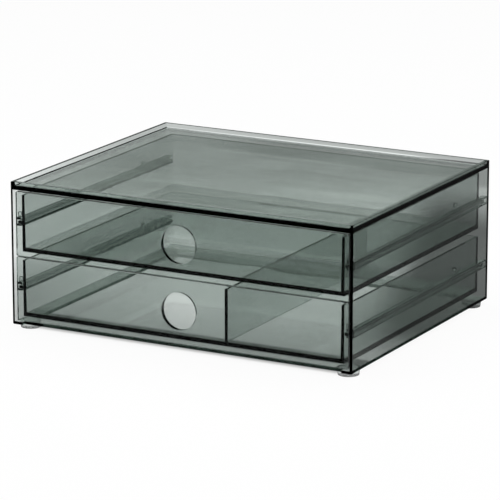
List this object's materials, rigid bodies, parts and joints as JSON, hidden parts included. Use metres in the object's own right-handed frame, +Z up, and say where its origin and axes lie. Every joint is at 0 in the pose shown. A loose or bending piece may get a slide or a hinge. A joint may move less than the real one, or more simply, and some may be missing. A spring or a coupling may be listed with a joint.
{
  "type": "letter tray stack with drawers",
  "caption": "Clear smoke-grey desk organizer: an open-fronted case with a rimmed top and sliding drawers with round finger holes, the lower one with a partition.",
  "frame": {"origin": "on the standing surface under the middle of the case", "axes": "+Z up, the drawers open towards -Y, +X to the right as seen from the front"},
  "size_m": [0.33, 0.27, 0.1318],
  "materials": {
    "case_plastic": "clear smoke grey, polished",
    "drawer_plastic": "clear smoke grey, polished",
    "guide_plastic": "clear smoke grey, polished",
    "foot_silicone": "clear, soft, slightly matt"
  },
  "bodies": {
    "case": {"case_shell": "case_plastic", "upper_left_guide": "guide_plastic", "upper_right_guide": "guide_plastic", "lower_left_guide": "guide_plastic", "lower_right_guide": "guide_plastic", "front_left_foot": "foot_silicone", "front_right_foot": "foot_silicone", "back_left_foot": "foot_silicone", "back_right_foot": "foot_silicone"},
    "upper_drawer": {"upper_drawer_front": "drawer_plastic", "upper_drawer_tray": "drawer_plastic"},
    "lower_drawer": {"lower_drawer_front": "drawer_plastic", "lower_drawer_tray": "drawer_plastic", "lower_drawer_divider": "drawer_plastic"}
  },
  "joints": [
    {"name": "upper_drawer_slide", "type": "slide", "parent": "case", "child": "upper_drawer", "axis": [0, -1, 0], "range_m": [0, 0.2022]},
    {"name": "lower_drawer_slide", "type": "slide", "parent": "case", "child": "lower_drawer", "axis": [0, -1, 0], "range_m": [0, 0.2022]}
  ]
}
